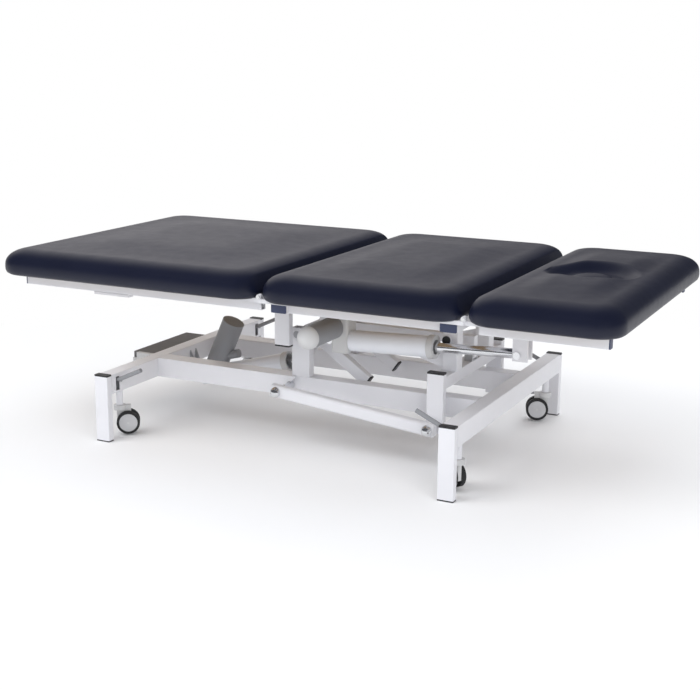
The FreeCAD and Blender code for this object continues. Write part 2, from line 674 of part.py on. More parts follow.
def section_frames():
    """Frames of the three sections, with their end caps, ears and brackets."""
    reach = rail_y - d.frame_tube / 2
    leg = [frame_rail(d.leg_frame_start, d.leg_frame_stop, side) for side in SIDES]
    leg += [frame_cross(x, reach) for x in (d.leg_frame_start + 90, d.leg_frame_stop - 120)]
    leg += [box((d.stay_bracket_long, d.frame_tube, d.stay_bracket_drop),
                (d.stay_bracket_start, side * rail_y - d.frame_tube / 2, frame_low - d.stay_bracket_drop))
            for side in SIDES]
    node("leg_frame", group(*leg, *ears(leg_hinge, -1, 0, d.run_fit)))
    node("leg_frame_caps", group(*[rail_cap(d.leg_frame_start - d.cap_thick / 2, side) for side in SIDES]))
    left, right = d.mid_cross_left + d.cross_wide / 2, d.mid_cross_right + d.cross_wide / 2
    up_mid = d.upright_left + d.upright_wide / 2
    mid = [frame_cross(left, d.cross_reach), frame_cross(right, d.cross_reach), frame_cross(up_mid, reach)]
    mid += [frame_rail(d.mid_cross_left + d.cross_wide, d.mid_cross_right, side) for side in SIDES]
    mid += ears(leg_hinge, 1, 1, 0) + ears(head_hinge, -1, 1, 0)
    beside_eye = d.rear_eye_half + d.side_clear
    hangers, rear_pin = forks(d.head_rear_x - d.hanger_wide, d.hanger_wide - d.rear_pin_radius,
                              d.head_rear_z - d.strap_eye_radius, d.head_rear_x, d.head_rear_z, beside_eye)
    node("middle_frame", group(*mid, *hangers))
    caps = [bar("Y", d.cap_thick, d.cross_wide, d.frame_tall,
                (x, side * (d.cross_reach + d.cap_thick / 2), frame_mid_z), None, d.tube_round)
            for x in (left, right) for side in SIDES]
    node("middle_frame_caps", group(*caps))
    hinge_pins(rear_pin)
    straps, pin = forks(d.bracket_left, d.bracket_wide, d.bracket_low, d.head_pin_x, d.head_pin_z,
                        d.head_rod_radius + d.side_clear)
    head = [frame_rail(d.head_frame_start, d.head_frame_stop, side) for side in SIDES]
    head += [frame_cross(x, reach) for x in (d.bracket_left + d.bracket_wide / 2, d.head_frame_stop - 60)]
    node("head_frame", group(*head, *ears(head_hinge, 1, 0, d.run_fit), *straps))
    node("head_pin", pin)
    node("head_frame_caps", group(*[rail_cap(d.head_frame_stop + d.cap_thick / 2, side) for side in SIDES]))


def rail_cap(x, side):
    """A cap on the open end of a side rail."""
    return bar("X", d.cap_thick, d.frame_tube, d.frame_tall, (x, side * rail_y, frame_mid_z), None, d.tube_round)


def drop_posts(caps):
    """Two posts hung from beams under the middle frame, at its foot end."""
    y = d.post_inner + d.post_thick / 2
    mid = d.drop_left + d.drop_wide / 2
    top = frame_low - d.beam_tall - d.ear_drop
    spots = [(mid, side * y) for side in SIDES]
    posts = [tube("Z", top - d.drop_low, d.drop_wide, d.post_thick, (x, py, (top + d.drop_low) / 2))
             for x, py in spots]
    caps += [bar("Z", d.cap_tall, d.drop_wide, d.post_thick, (x, py, d.drop_low - d.cap_tall / 2),
                 None, d.tube_round) for x, py in spots]
    node("carriage_caps", group(*caps))
    long = d.mid_cross_left + d.cross_wide - d.drop_left
    beams = [tube("X", long, d.post_thick, d.beam_tall, (d.drop_left + long / 2, py, top + d.beam_tall / 2))
             for x, py in spots]
    blocks = [box((d.cross_wide, d.post_thick, d.ear_drop),
                  (d.mid_cross_left, py - d.post_thick / 2, frame_low - d.ear_drop)) for x, py in spots]
    node("drop_posts", group(*posts, *[fuse(beam, block) for beam, block in zip(beams, blocks)]))


# ---------------------------------------------------------------- actuators
def along(start, slope, distance):
    """A point so far along a sloping line in a plane of constant Y."""
    turn = math.radians(slope)
    return (start[0] + distance * math.cos(turn), start[1], start[2] + distance * math.sin(turn))


def lift_actuator():
    """Lift actuator: rear clevis, tube with a collar, motor stood across it, and the rod."""
    run_x, run_z = d.crank_x - d.lift_rear_x, d.crank_z - d.lift_rear_z
    slope = math.degrees(math.atan2(float(run_z), float(run_x)))
    reach = math.hypot(float(run_x), float(run_z))
    turn = tilt(slope)
    rear = (d.lift_rear_x, 0, d.lift_rear_z)
    start, stop = d.lift_tube_start, d.lift_tube_start + d.lift_tube_long
    bore_low = reach - d.lift_rod_long - 12
    shell = rod(d.lift_tube_radius, d.lift_tube_long, along(rear, slope, start), "X", turn)
    eye = rod(d.rear_eye_radius, 2 * d.rear_eye_half, (d.lift_rear_x, -d.rear_eye_half, d.lift_rear_z), "Y")
    neck = bar("X", d.lift_tube_start + d.rear_eye_half, 2 * d.rear_eye_half, 2 * d.rear_eye_half,
               along(rear, slope, (d.lift_tube_start + d.rear_eye_half) / 2), turn)
    pin_hole = rod(d.rear_pin_radius + d.run_fit, 4 * d.rear_eye_half,
                   (d.lift_rear_x, -2 * d.rear_eye_half, d.lift_rear_z), "Y")
    bore = rod(d.lift_bore, d.lift_tube_long, along(rear, slope, bore_low), "X", turn)
    middle = along(rear, slope, d.lift_motor_place)
    lean = slope + d.lift_motor_lean.value
    low_end = along(middle, lean, -d.lift_motor_low)
    long = d.lift_motor_low + d.lift_motor_high

    def barrel():
        return rod(d.lift_motor_radius, long, low_end, "X", tilt(lean))

    node("lift_motor", cut(barrel(), rod(d.lift_tube_radius, 4 * d.lift_motor_radius,
                                         along(rear, slope, d.lift_motor_place - 2 * d.lift_motor_radius),
                                         "X", turn)))
    node("lift_tube", cut(fuse(shell, eye, neck), pin_hole, bore))
    collar = rod(d.lift_tube_radius + d.collar_step, d.collar_long, along(rear, slope, stop), "X", turn)
    node("lift_collar", cut(collar, rod(d.lift_bore, 2 * d.collar_long,
                                        along(rear, slope, stop - d.collar_long / 2), "X", turn)))
    angle = math.radians(d.lift_motor_lean.value)
    above = d.lift_tube_radius + d.knob_radius + d.knob_gap
    knob_at = along(along(middle, slope + 90, above), slope, above / math.tan(angle))
    knob = rod(d.knob_radius, d.knob_long + d.lift_motor_radius / math.sin(angle), knob_at, "X", turn)
    node("lift_knob", cut(knob, barrel()))
    end = d.crank_spread - d.side_clear
    tip = rod(d.rear_eye_radius, 2 * end, (d.crank_x, -end, d.crank_z), "Y")
    shaft = rod(d.lift_rod_radius, d.lift_rod_long, along(rear, slope, reach - d.lift_rod_long), "X", turn)
    hole = rod(d.crank_pin_radius + d.run_fit, 4 * end, (d.crank_x, -2 * end, d.crank_z), "Y")
    node("lift_rod", cut(fuse(shaft, tip), hole))
    rear_bracket()


def rear_bracket():
    """Two plates from the foot-end cross-member to the lift actuator's rear pin."""
    face = d.base_start + d.member_wide
    half = d.rear_eye_radius + 2
    plates = []
    for side in SIDES:
        y = side * (d.rear_eye_half + d.side_clear + d.crank_thick / 2)
        points = [(face, member_top - half), (face, d.member_low), (d.lift_rear_x - half, d.lift_rear_z - half),
                  (d.lift_rear_x + half / 2, d.lift_rear_z - half), (d.lift_rear_x + half / 2, d.lift_rear_z + half)]
        plate = plate_body("Y", points, d.crank_thick, (0, y, 0))
        plates.append(cut(plate, rod(d.rear_pin_radius, 4 * half,
                                     (d.lift_rear_x, y - 2 * half, d.lift_rear_z), "Y")))
    reach = d.rear_eye_half + d.side_clear + d.crank_thick
    pin = rod(d.rear_pin_radius, 2 * reach, (d.lift_rear_x, -reach, d.lift_rear_z), "Y")
    node("lift_rear_bracket", group(pin, *plates))


def head_actuator():
    """Head actuator: gearbox and side motor at the foot end, tube, collar, and the rod to the bracket."""
    y = d.head_axis_y
    run_x, run_z = d.head_pin_x - d.head_rear_x, d.head_pin_z - d.head_rear_z
    slope = math.degrees(math.atan2(float(run_z), float(run_x)))
    reach = math.hypot(float(run_x), float(run_z))
    turn = tilt(slope)
    rear = (d.head_rear_x, y, d.head_rear_z)
    stop = d.head_tube_start + d.head_tube_long
    gear = bar("Z", d.gear_tall, d.gear_long, d.gear_deep,
               (d.gear_left + d.gear_long / 2, d.gear_front + d.gear_deep / 2, d.gear_low + d.gear_tall / 2),
               None, d.tube_round * 3)
    eye = rod(d.rear_eye_radius, 2 * d.rear_eye_half, (d.head_rear_x, y - d.rear_eye_half, d.head_rear_z), "Y")
    pin_hole = rod(d.rear_pin_radius + d.run_fit, 4 * d.rear_eye_half,
                   (d.head_rear_x, y - 2 * d.rear_eye_half, d.head_rear_z), "Y")
    motor_long = d.gear_front - d.head_motor_stop
    node("head_motor", rod(d.head_motor_radius, motor_long, (d.head_motor_x + d.collar_step, d.head_motor_stop,
                                                             d.head_motor_z), "Y"))
    cover_x = d.head_motor_x + d.collar_step
    dome_end = cut(ball(d.head_motor_radius, (cover_x, d.head_motor_stop, d.head_motor_z)),
                   box((3 * d.head_motor_radius, 3 * d.head_motor_radius, 3 * d.head_motor_radius),
                       (cover_x - 1.5 * d.head_motor_radius, d.head_motor_stop,
                        d.head_motor_z - 1.5 * d.head_motor_radius)))
    node("head_motor_dome", dome_end)
    shell = rod(d.head_tube_radius, d.head_tube_long, along(rear, slope, d.head_tube_start), "X", turn)
    bore_low = reach - d.head_rod_long - 32
    bore = rod(d.head_bore, 2 * d.head_tube_long, along(rear, slope, bore_low), "X", turn)
    node("head_gearbox", cut(fuse(gear, eye), pin_hole))
    node("head_tube", cut(shell, bore, bar("Z", d.gear_tall, d.gear_long, d.gear_deep,
                                           (d.gear_left + d.gear_long / 2, d.gear_front + d.gear_deep / 2,
                                            d.gear_low + d.gear_tall / 2))))
    collar = rod(d.head_tube_radius + d.collar_step, d.collar_long, along(rear, slope, stop), "X", turn)
    node("head_collar", cut(collar, rod(d.head_bore, 2 * d.collar_long,
                                        along(rear, slope, stop - d.collar_long / 2), "X", turn)))
    shaft = rod(d.head_rod_radius, d.head_rod_long, along(rear, slope, reach - d.head_rod_long), "X", turn)
    tip = rod(d.rear_eye_radius, 2 * d.rear_eye_half, (d.head_pin_x, y - d.rear_eye_half, d.head_pin_z), "Y")
    hole = rod(d.rear_pin_radius + d.run_fit, 4 * d.rear_eye_half,
               (d.head_pin_x, y - 2 * d.rear_eye_half, d.head_pin_z), "Y")
    node("head_rod", cut(fuse(shaft, tip), hole))


def forks(left, wide, low, pin_x, pin_z, inner):
    """A pair of straps hung from the frame above, with the pin that an actuator end turns on."""
    y = d.head_axis_y
    plates = []
    for side in SIDES:
        low_y = y + inner if side > 0 else y - inner - d.bracket_thick
        strap = box((wide, d.bracket_thick, frame_low - low), (left, low_y, low))
        eye = rod(d.strap_eye_radius, d.bracket_thick, (pin_x, low_y, pin_z), "Y")
        plates.append(cut(fuse(strap, eye), rod(d.rear_pin_radius, 4 * d.rear_eye_half, (pin_x, low_y - d.rear_eye_half, pin_z),
                                     "Y")))
    reach = inner + d.bracket_thick
    shank = rod(d.rear_pin_radius, 2 * reach, (pin_x, y - reach, pin_z), "Y")
    head = rod(d.rear_eye_radius - 3, d.foot_thick, (pin_x, y - reach - d.foot_thick, pin_z), "Y")
    return plates, fuse(shank, head)


# ---------------------------------------------------------------- castors
def castor(tag, x, side, inward, facing, pedal):
    """One castor: stem with its foot lever, housing, twin wheel, and a brake pedal where it has one."""
    y = side * (d.base_width / 2 - d.castor_inset)
    lever_y = side * (d.base_width / 2 - d.lever_inset)
    stem = rod(d.stem_radius, d.stem_top - d.housing_top, (x, y, d.housing_top))
    axle_z = d.wheel_radius + d.wheel_lift
    spigot = rod(d.axle_radius, d.housing_top - d.housing_low, (x, y, d.housing_low))
    span = lever_y - y
    low_y = y if side > 0 else lever_y
    link = rod(d.lever_radius, d.castor_inset - d.lever_inset, (x, low_y, d.lever_height), "Y")
    toe_start = (x, lever_y, d.lever_height)
    sleeve = rod(d.lever_radius + 1, d.member_wide / 2 + d.toe_collar_long / 2,
                 toe_start if inward > 0 else (x - d.member_wide / 2 - d.toe_collar_long / 2, lever_y, toe_start[2]),
                 "X")
    end_x = x + inward * (d.member_wide / 2 + d.toe_collar_long / 2)
    slope = d.lever_rise.value if inward > 0 else 180 - d.lever_rise.value
    toe = rod(d.toe_collar_radius - 2, d.lever_long, (end_x - 2 * inward * d.lever_radius, lever_y, toe_start[2]),
              "X", tilt(slope))
    toe = cut(toe, rod(d.lever_radius + 1, 4 * d.toe_collar_long,
                                      (end_x - inward * 4 * d.toe_collar_long if inward > 0 else end_x, lever_y,
                                       toe_start[2]), "X"))
    node("stem_" + tag, group(fuse(stem, spigot, link, sleeve), toe))
    turn = Rotation(Vector(0, 0, 1), facing)
    back = turn.multVec(Vector(float(d.trail), 0, 0))
    cx, cy = x + back.x, y + back.y
    half = d.fork_wide / 2
    crown = rod(d.housing_radius, d.housing_top - d.housing_low - d.side_clear, (x, y, d.housing_low))
    fork = bar("Z", d.housing_top - d.side_clear - axle_z + d.axle_radius * 2, d.trail + d.housing_radius, d.fork_wide,
               (x + back.x / 2, y + back.y / 2,
                (d.housing_top - d.side_clear + axle_z - d.axle_radius * 2) / 2), turn, d.tube_round)
    axle = rod(d.axle_radius, d.fork_wide + 2 * d.tyre_wide, side_point(cx, cy, facing, -(half + d.tyre_wide), axle_z),
               "Y", turn)
    shaft = rod(d.axle_radius + d.run_fit, 2 * d.housing_top, (x, y, d.axle_radius))
    room = cut(fuse(crown, fork), shaft)
    node("housing_" + tag, fuse(room, axle))
    wheels = []
    for way in SIDES:
        offset = half + d.side_clear if way > 0 else -(half + d.tyre_wide)
        disc = rod(d.wheel_radius, d.tyre_wide - d.side_clear, side_point(cx, cy, facing, offset, axle_z), "Y", turn)
        disc_cut = rod(d.axle_radius + d.run_fit, 3 * d.tyre_wide,
                       side_point(cx, cy, facing, offset - d.tyre_wide, axle_z), "Y", turn)
        wheels.append(cut(disc, disc_cut))
    node("wheels_" + tag, group(*wheels))
    if pedal:
        barrel_at = d.trail / 2 + (d.trail + d.housing_radius) / 2 + d.pedal_gap + d.pedal_thick / 2
        pivot = turn.multVec(Vector(float(barrel_at), 0, 0))
        middle = turn.multVec(Vector(float(barrel_at + d.pedal_long / 2), 0, 0))
        height = d.housing_top - d.side_clear - d.pedal_thick / 2
        plate = bar("X", d.pedal_long, d.pedal_wide, d.pedal_thick, (x + middle.x, y + middle.y, height), turn,
                    d.pedal_thick / 4)
        barrel = rod(d.pedal_thick / 2, d.pedal_wide,
                     side_point(x + pivot.x, y + pivot.y, facing, -d.pedal_wide / 2, height), "Y", turn)
        node("pedal_" + tag, fuse(plate, barrel))


def side_point(cx, cy, facing, offset, z):
    """A point so far to the side of a castor's middle plane."""
    side = Rotation(Vector(0, 0, 1), facing).multVec(Vector(0, float(offset), 0))
    return (cx + side.x, cy + side.y, z)


base_posts()
cross_members()
base_rails()
pylons()
control_box()
lower_arms()
upper_link()
end_caps = lift_frame()
cushions()
section_frames()
drop_posts(end_caps)
lift_actuator()
head_actuator()
castor("fl", member_xs[0], -1, 1, 35, False)
castor("rl", member_xs[0], 1, 1, 60, True)
castor("fr", member_xs[1], -1, -1, 150, False)
castor("rr", member_xs[1], 1, -1, -160, True)

doc.recompute()
for obj in doc.Objects:
    if "Invalid" in obj.State or "Error" in obj.State:
        raise RuntimeError("%s (%s) is in state %s" % (obj.Name, obj.Label, obj.State))
os.makedirs("parts", exist_ok=True)
for obj in NODES:
    if obj.Shape.isNull() or not obj.Shape.isValid():
        raise RuntimeError("bad shape: " + obj.Label)
    obj.Shape.exportStep("parts/%s.step" % obj.Label)
    print("%-20s %2d solids %9.0f mm3" % (obj.Label, len(obj.Shape.Solids), obj.Shape.Volume))
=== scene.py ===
"""Looks of the treatment couch: upholstery, paint, plastics, small fittings, light and camera."""
import json
import math
import bmesh
import bpy
import numpy as np
from mathutils import Matrix, Vector


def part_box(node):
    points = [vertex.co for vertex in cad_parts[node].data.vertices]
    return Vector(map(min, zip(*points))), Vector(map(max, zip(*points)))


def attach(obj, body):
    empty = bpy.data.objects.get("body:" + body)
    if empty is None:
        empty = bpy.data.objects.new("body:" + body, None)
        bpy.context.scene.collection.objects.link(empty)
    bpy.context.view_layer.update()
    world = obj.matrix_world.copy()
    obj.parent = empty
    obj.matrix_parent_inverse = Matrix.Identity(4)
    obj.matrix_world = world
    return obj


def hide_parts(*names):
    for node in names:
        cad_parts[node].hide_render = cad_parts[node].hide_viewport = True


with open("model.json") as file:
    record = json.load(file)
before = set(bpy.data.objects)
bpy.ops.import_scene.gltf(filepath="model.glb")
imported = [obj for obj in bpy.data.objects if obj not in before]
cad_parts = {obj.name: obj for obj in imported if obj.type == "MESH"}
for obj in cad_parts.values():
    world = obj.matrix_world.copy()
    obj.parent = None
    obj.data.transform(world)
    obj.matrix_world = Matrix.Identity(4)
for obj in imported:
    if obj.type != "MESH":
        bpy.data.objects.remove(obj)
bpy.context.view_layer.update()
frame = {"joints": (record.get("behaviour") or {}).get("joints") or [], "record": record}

# Sizes are in metres. Places come from the frame.
CORNERS = ("fl", "rl", "fr", "rr")

STEM_SPLIT = 0.186        # height at which a castor stem turns from white to grey
STEM_SHARPNESS = 800.0    # how sudden that change is, per metre

LEG_OVERHANG = 0.028      # the foot pad reaches this far past its solid at the foot end
SIDE_OVERHANG = 0.010     # every pad reaches this far past its solid at the two long sides
PAD_SPREAD = 0.075        # how far inwards the curve of a pad's side runs
PAD_CORNER = 0.078        # radius of a pad's corners at its widest
CORNER_SHRINK = 0.6       # what a corner's radius loses for each metre inwards
CORNER_LEAST = 0.03
PAD_CROWN = 0.012         # rise of a pad's middle over its edge
CROWN_START = 0.074       # the rise begins this far inside the outline
CROWN_SHARE = 0.6         # share of the way to the middle over which it rises
SIDE_FOOT = 0.010         # the side's curve begins this far above the pad's foot
EDGE_DROP = 0.002         # and ends this far below the solid's top
PAD_CLOSE = 0.004         # radius of the small face that closes a plain pad's top
HINGE_DROP = 0.004        # the hinge lies this far below the pad's foot
END_LEAN = 20.5           # degrees that two meeting pad ends lean away from each other
# The cover's fold under the board, from its hem outwards: how far in, how far above the pad's foot.
COVER_FOLD = ((0.050, 0.0), (0.031, 0.0), (0.031, -0.0085), (0.022, -0.013), (0.012, -0.0125),
              (0.004, -0.007), (0.0005, 0.002))

DISH_RIM = 0.146          # radius at which the face dish begins to sink
DISH_FLOOR = 0.088        # radius inside which it is level
DISH_DEPTH = 0.030
HOLE_RADIUS = 0.0645      # breathing hole in the middle of the dish

PLUG_STEPS = 72
# The plug from its foot to the middle of its top, as shares of its solid's radius and height.
PLUG_PROFILE = ((0.2, 0), (0.96, 0), (0.99, 0.06), (0.99, 0.16), (1.12, 0.24), (1.17, 0.34),
                (1.17, 0.82), (1.15, 0.90), (1.09, 0.96), (0.98, 1.01), (0.8, 1.06), (0.55, 1.10),
                (0.3, 1.12), (0.05, 1.125))

DISC_STEPS = 40
DISC_MIDDLE = 0.0222      # a wheel disc's middle, from the wheel pair's centre along the axle
# Its rings, outwards and back over the rim: radius, distance from the centre along the axle.
DISC_PROFILE = ((0.006, 0.0235), (0.010, 0.0240), (0.0275, 0.0238), (0.030, 0.0228), (0.030, 0.0215))

FLOOR_REACH = 12.0
FLOOR_CLEAR = 0.9         # the floor keeps its own look this far from the couch's middle
FLOOR_FADE = 1.3          # and fades to plain white over this much more

# Name, place, what it points at, power in watts, width.
LAMPS = (("key", (-1.8, -2.6, 3.4), (0, 0, 0.4), 80, 2.6),
         ("fill", (3.2, -2.8, 1.9), (0, 0, 0.4), 45, 2.4),
         ("back", (0.5, 3.2, 3.0), (0, 0, 0.5), 60, 3.0))

CAMERA_PLACE = (1.79496, -3.63613, 1.26786)
CAMERA_RIGHT = Vector((0.89470, 0.44661, 0.00650))
CAMERA_DOWN = Vector((0.11053, -0.20728, -0.97202))
CAMERA_AHEAD = Vector((-0.43277, 0.87039, -0.23482))
CAMERA_LENS = 65.4        # millimetres, on a sensor 36 mm wide
CAMERA_SENSOR = 36


# ---------------------------------------------------------------- shader maths
class Sock:
    """A shader output with arithmetic, so surface formulas read as plain sums."""

    def __init__(self, tree, out):
        self.tree = tree
        self.out = out

    def op(self, kind, *others, clamp=False):
        """One maths node with this output first."""
        n = self.tree.nodes.new("ShaderNodeMath")
        n.operation = kind
        n.use_clamp = clamp
        for i, value in enumerate((self,) + others):
            if isinstance(value, Sock):
                self.tree.links.new(value.out, n.inputs[i])
            else:
                n.inputs[i].default_value = value
        return Sock(self.tree, n.outputs[0])

    def __add__(self, other):
        return self.op("ADD", other)

    __radd__ = __add__

    def __mul__(self, other):
        return self.op("MULTIPLY", other)

    __rmul__ = __mul__

    def __sub__(self, other):
        return self.op("SUBTRACT", other)

    def __rsub__(self, other):
        return (self * -1.0).op("ADD", other)


class Shade:
    """A material being built from nodes."""

    def __init__(self, name):
        self.mat = bpy.data.materials.new(name)
        self.mat.use_nodes = True
        self.tree = self.mat.node_tree
        self.bsdf = self.tree.nodes["Principled BSDF"]
        self.spot = self.node("ShaderNodeTexCoord").outputs["Object"]

    def node(self, kind, inputs=(), **settings):
        """Any other node, with its settings and inputs by name."""
        n = self.tree.nodes.new(kind)
        for key, value in settings.items():
            setattr(n, key, value)
        for key, value in dict(inputs).items():
            if isinstance(value, Sock):
                value = value.out
            if hasattr(value, "links"):
                self.tree.links.new(value, n.inputs[key])
            else:
                n.inputs[key].default_value = value
        return n

    def noise(self, scale, detail=3.0, rough=0.5):
        """Cloudy noise from 0 to 1, with about so many clouds to the metre."""
        n = self.node("ShaderNodeTexNoise", {"Vector": self.spot, "Scale": scale, "Detail": detail,
                                             "Roughness": rough})
        return Sock(self.tree, n.outputs[0])

    def cells(self, scale):
        """Distance to the nearest border between pebble-like cells."""
        n = self.node("ShaderNodeTexVoronoi", {"Vector": self.spot, "Scale": scale},
                      feature="DISTANCE_TO_EDGE")
        return Sock(self.tree, n.outputs["Distance"])

    def blend(self, mask, dark, light):
        """The first colour where the mask is 0, the second where it is 1."""
        n = self.node("ShaderNodeMix", data_type="RGBA")
        self.tree.links.new(mask.out, n.inputs[0])
        n.inputs[6].default_value = (*dark, 1)
        n.inputs[7].default_value = (*light, 1)
        return n.outputs[2]

    def to(self, name, source):
        """Feeds one input of the surface."""
        self.tree.links.new(source.out if isinstance(source, Sock) else source, self.bsdf.inputs[name])

    def bump(self, height, distance, strength=0.5):
        """Fine relief: a height of 1 stands for this distance, and the strength fades it."""
        n = self.node("ShaderNodeBump", {"Height": height, "Distance": distance, "Strength": strength})
        self.tree.links.new(n.outputs[0], self.bsdf.inputs["Normal"])


# ---------------------------------------------------------------- materials
def paint(name, dark, light, rough=0.38, metal=0.0, coat=0.0, grain=900.0, deep=0.00006):
    """Even colour with faint wear in it, a slight unevenness of gloss, and a fine grain."""
    s = Shade(name)
    wear = s.noise(9.0, 4.0, 0.6)
    s.to("Base Color", s.blend(wear, dark, light))
    s.to("Roughness", s.noise(40.0, 3.0) * 0.12 + (rough - 0.06))
    s.bsdf.inputs["Metallic"].default_value = metal
    s.bsdf.inputs["Coat Weight"].default_value = coat
    s.bump(s.noise(grain, 2.0), deep)
    return s.mat


def vinyl():
    """Soft vinyl: near-black navy, pebbled grain cells and a broad low sheen."""
    s = Shade("upholstery_vinyl")
    s.to("Base Color", s.blend(s.noise(6.0, 4.0), (0.0035, 0.0055, 0.019), (0.006, 0.0085, 0.027)))
    s.to("Roughness", s.noise(25.0, 3.0) * 0.10 + 0.38)
    s.bsdf.inputs["Specular IOR Level"].default_value = 0.42
    grain = s.cells(420.0).op("MINIMUM", 0.25) + s.noise(700.0, 2.0) * 0.15
    s.bump(grain, 0.0004, 0.35)
    return s.mat


def ply():
    """Birch ply: long grain from a stretched noise."""
    s = Shade("board_ply")
    stretch = s.node("ShaderNodeMapping", {"Vector": s.spot, "Scale": (3.0, 60.0, 160.0)})
    n = s.node("ShaderNodeTexNoise", {"Vector": stretch.outputs[0], "Scale": 1.0, "Detail": 5.0})
    s.to("Base Color", s.blend(Sock(s.tree, n.outputs[0]), (0.30, 0.20, 0.11), (0.52, 0.38, 0.23)))
    s.bsdf.inputs["Roughness"].default_value = 0.6
    return s.mat


def stems():
    """Castor stems: white below the foot lever and grey above, by height."""
    s = Shade("castor_stems")
    parts = s.node("ShaderNodeSeparateXYZ", {"Vector": s.spot})
    upper = (Sock(s.tree, parts.outputs["Z"]) - STEM_SPLIT).op("MULTIPLY", STEM_SHARPNESS, clamp=True)
    s.to("Base Color", s.blend(upper, (0.76, 0.76, 0.79), (0.27, 0.275, 0.29)))
    s.to("Roughness", s.noise(40.0, 3.0) * 0.12 + 0.34)
    s.bump(s.noise(900.0, 2.0), 0.00006)
    return s.mat


# The finish of each material slot.
MATS = {
    "white_powder_coat": paint("powder_coat", (0.74, 0.74, 0.77), (0.80, 0.80, 0.83), 0.36, coat=0.15),
    "black_plastic": paint("end_caps", (0.012, 0.012, 0.014), (0.022, 0.022, 0.025), 0.5),
    "navy_plastic": paint("navy_caps", (0.035, 0.045, 0.10), (0.05, 0.065, 0.13), 0.45),
    "light_grey_plastic": paint("light_plastic", (0.56, 0.56, 0.56), (0.64, 0.64, 0.64), 0.42),
    "dark_grey_plastic": paint("dark_plastic", (0.245, 0.25, 0.265), (0.29, 0.295, 0.31), 0.45),
    "chrome": paint("chrome", (0.72, 0.73, 0.75), (0.80, 0.81, 0.83), 0.14, metal=1.0, deep=0.00001),
    "zinc_steel": paint("zinc", (0.42, 0.43, 0.45), (0.55, 0.56, 0.58), 0.38, metal=0.8),
    "aluminium_tube": paint("tube_alloy", (0.80, 0.82, 0.87), (0.86, 0.88, 0.92), 0.34, coat=0.2),
    "birch_ply": ply(),
    "navy_vinyl": vinyl(),
    "grey_rubber": paint("tyre_rubber", (0.015, 0.015, 0.016), (0.03, 0.03, 0.031), 0.75, grain=300.0),
}
# Nodes that look different from the rest of their slot.
OWN = {"control_box": paint("box_lid", (0.13, 0.127, 0.129), (0.16, 0.156, 0.158), 0.6)}
OWN.update(dict.fromkeys(["stem_" + tag for tag in CORNERS], stems()))
HUB = paint("wheel_discs", (0.50, 0.50, 0.51), (0.60, 0.60, 0.61), 0.42)


def dress_solids():
    """Gives each solid the finish of its slot, or its own."""
    for part in frame["record"]["subparts"]:
        obj = bpy.data.objects.get(part["node"])
        if obj is None:
            continue
        mat = OWN.get(part["node"], MATS[part["material_slot"]])
        if not obj.material_slots:
            obj.data.materials.append(mat)
        for slot in obj.material_slots:
            slot.material = mat


# ---------------------------------------------------------------- new pieces
def mesh_object(name, verts, faces, body, mat):
    """A piece from corner points and faces, smooth shaded, riding on a body."""
    mesh = bpy.data.meshes.new(name)
    mesh.from_pydata(verts.tolist(), [], faces)
    bm = bmesh.new()
    bm.from_mesh(mesh)
    bmesh.ops.recalc_face_normals(bm, faces=bm.faces)
    bm.to_mesh(mesh)
    bm.free()
    mesh.shade_smooth()
    obj = bpy.data.objects.new(name, mesh)
    bpy.context.scene.collection.objects.link(obj)
    obj.data.materials.append(mat)
    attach(obj, body)
    return obj


def rounded_loop(half_x, half_y, radius, count=240):
    """Points round a rectangle with circular corners, at even steps along its whole outline."""
    turn = np.linspace(0, np.pi / 2, 16)
    parts = []
    for k, (sx, sy) in enumerate(((1, 1), (-1, 1), (-1, -1), (1, -1))):
        a = turn + k * np.pi / 2
        parts.append(np.stack([sx * (half_x - radius) + radius * np.cos(a),
                               sy * (half_y - radius) + radius * np.sin(a)], axis=1))
    outline = np.concatenate(parts + [parts[0][:1]])
    run = np.concatenate([[0], np.cumsum(np.linalg.norm(np.diff(outline, axis=0), axis=1))])
    spots = np.linspace(0, run[-1], count, endpoint=False)
    return np.stack([np.interp(spots, run, outline[:, 0]), np.interp(spots, run, outline[:, 1])], axis=1)


def strips(count, rows, closed):
    """Four-sided faces between rings of equal length; closed joins the last ring to the first."""
    i = np.arange(count)
    faces = []
    for k in range(rows if closed else rows - 1):
        a, b = k * count, ((k + 1) % rows) * count
        faces += np.stack([a + i, a + (i + 1) % count, b + (i + 1) % count, b + i], axis=1).tolist()
    return faces


def closed_ends(count, rows):
    """The two many-sided faces that close the first ring and the last."""
    return [list(range(count)), list(range((rows - 1) * count, rows * count))]


def side_loops(mid, half, z0, z1):
    """The cover's fold under the board, then the pad's side.

    With an angle from 0 to 90 degrees, the side runs in by its spread times (1 - cosine) to the power 1.1
    and rises by its height times the sine to the power 0.88.
    """
    rows = [(inset, z0 + rise) for inset, rise in COVER_FOLD]
    for a in np.linspace(0, np.pi / 2, 22):
        rows.append((PAD_SPREAD * (1 - math.cos(a)) ** 1.1,
                     z0 + SIDE_FOOT + (z1 - z0 - (SIDE_FOOT + EDGE_DROP)) * math.sin(a) ** 0.88))
    loops = []
    for inset, z in rows:
        radius = max(PAD_CORNER - inset * CORNER_SHRINK, CORNER_LEAST)
        loop = rounded_loop(half[0] - inset, half[1] - inset, radius)
        loops.append(np.column_stack([loop + mid[:2], np.full(len(loop), z)]))
    return loops


